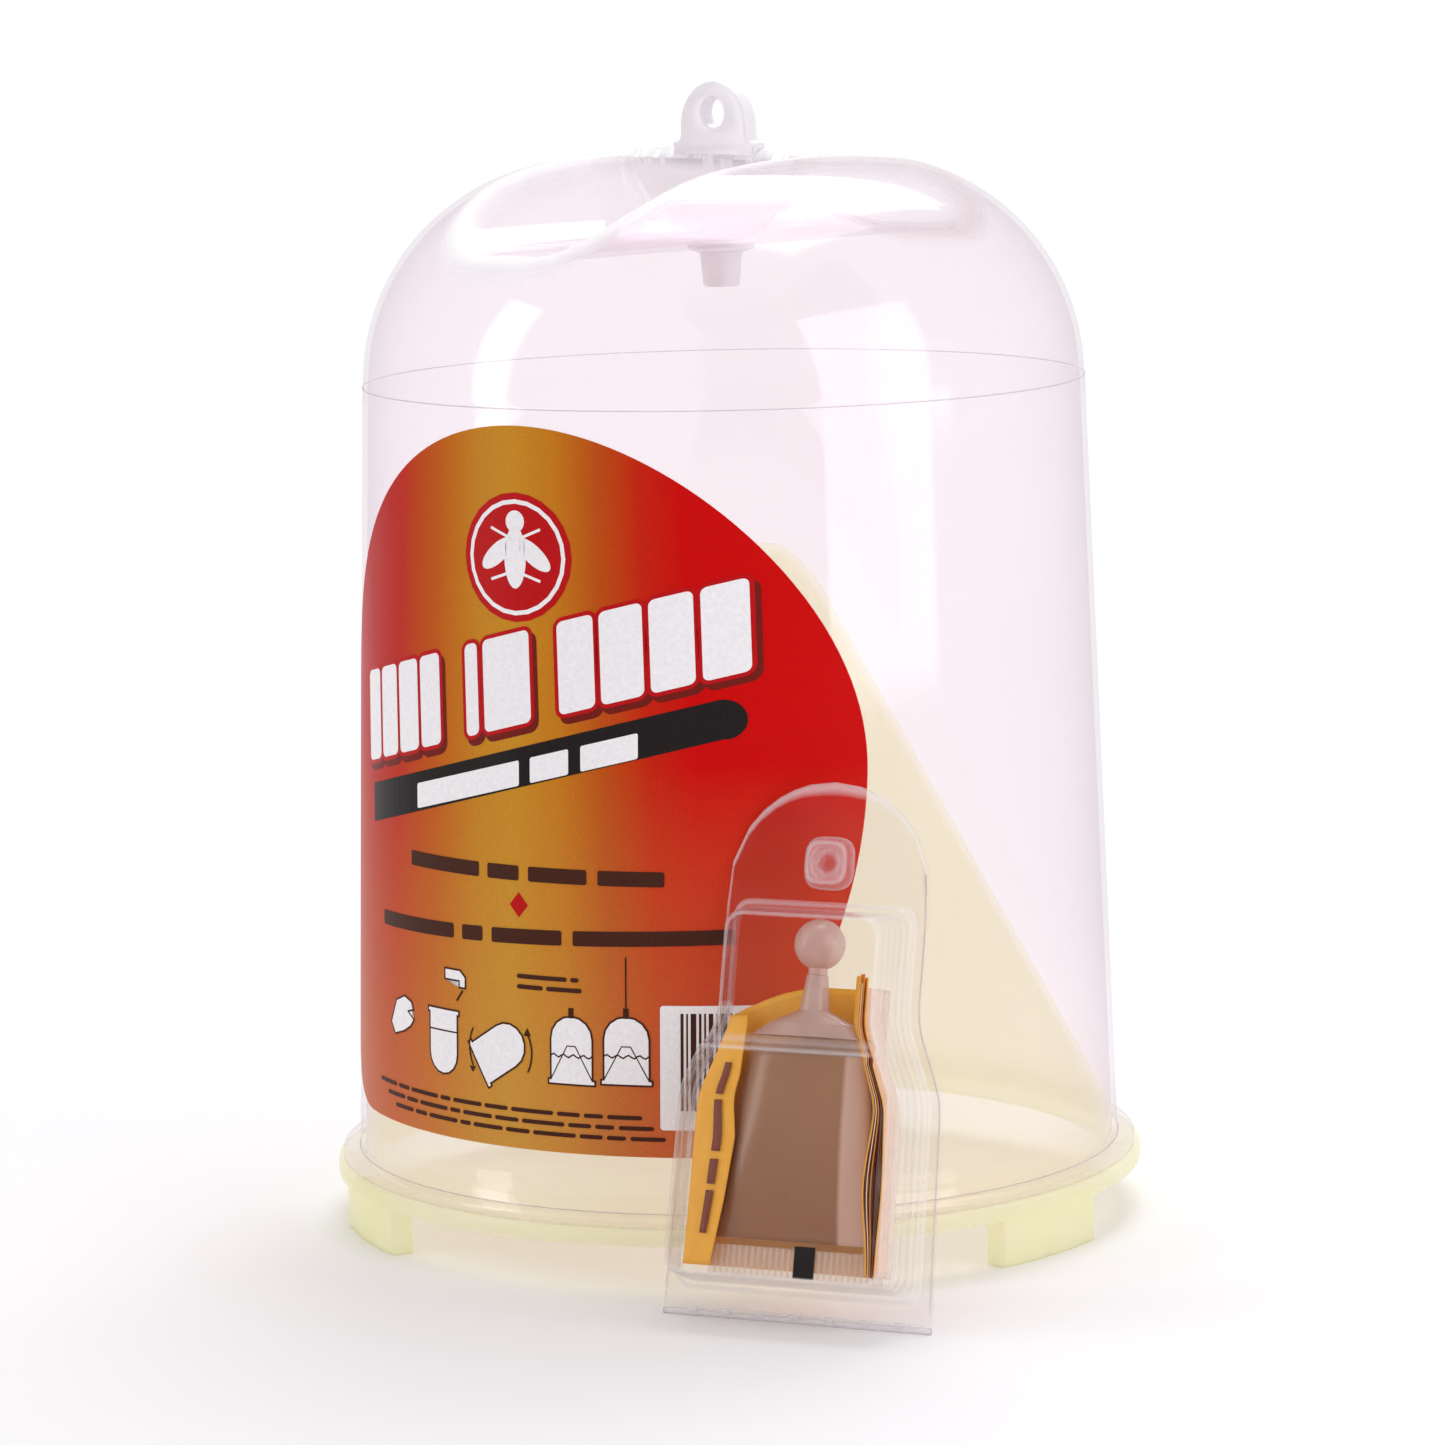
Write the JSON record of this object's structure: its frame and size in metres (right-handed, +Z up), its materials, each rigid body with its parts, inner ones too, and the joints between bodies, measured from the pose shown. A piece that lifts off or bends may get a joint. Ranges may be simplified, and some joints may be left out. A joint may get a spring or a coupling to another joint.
{
  "type": "pheromone insect trap",
  "caption": "Clear bell-shaped hanging insect trap on a footed funnel base, with a clamshell pack of liquid attractant leaning on it.",
  "frame": {"origin": "where the trap's axis meets the surface it stands on, at the centre of its three feet", "axes": "+Z up along the trap's axis; -Y towards the front with the label and the attractant pack; +X to the right seen from the front"},
  "size_m": [0.1524, 0.1907, 0.2133],
  "materials": {
    "clear_body": "clear moulded polypropylene, faintly milky where thick",
    "pale_yellow_base": "translucent pale yellow-green polypropylene",
    "printed_film": "glossy printed label film, red fading to gold in the middle",
    "clear_sheet": "clear thermoformed sheet with folded edges",
    "milky_sleeve": "translucent soft polyethylene",
    "milky_head": "milky moulded polyethylene",
    "amber_liquid": "brown liquid",
    "printed_paper": "folded printed paper, orange outside"
  },
  "bodies": {
    "trap": {"bell": "clear_body", "funnel_base": "pale_yellow_base", "label": "printed_film"},
    "pack": {"clamshell_back": "clear_sheet", "tube_sleeve": "milky_sleeve", "tube_head": "milky_head", "attractant": "amber_liquid", "leaflet": "printed_paper"},
    "pack_front": {"clamshell_front": "clear_sheet"},
    "tip": {"twist_off_tip": "milky_head"}
  },
  "joints": [
    {"name": "pack_lift", "type": "slide", "parent": "trap", "child": "pack", "axis": [-0.282, -0.6485, 0.7071], "range_m": [0, 0.2]},
    {"name": "pack_open", "type": "hinge", "parent": "pack", "child": "pack_front", "pos_m": [0.0093, -0.09635, 0.0006], "axis": [0.9171, -0.3987, 0], "range_deg": [0, 180]},
    {"name": "tip_twist", "type": "hinge", "parent": "pack", "child": "tip", "pos_m": [0.0143, -0.08887, 0.06046], "axis": [0.0978, 0.225, 0.9694], "range_deg": [-180, 180]}
  ]
}
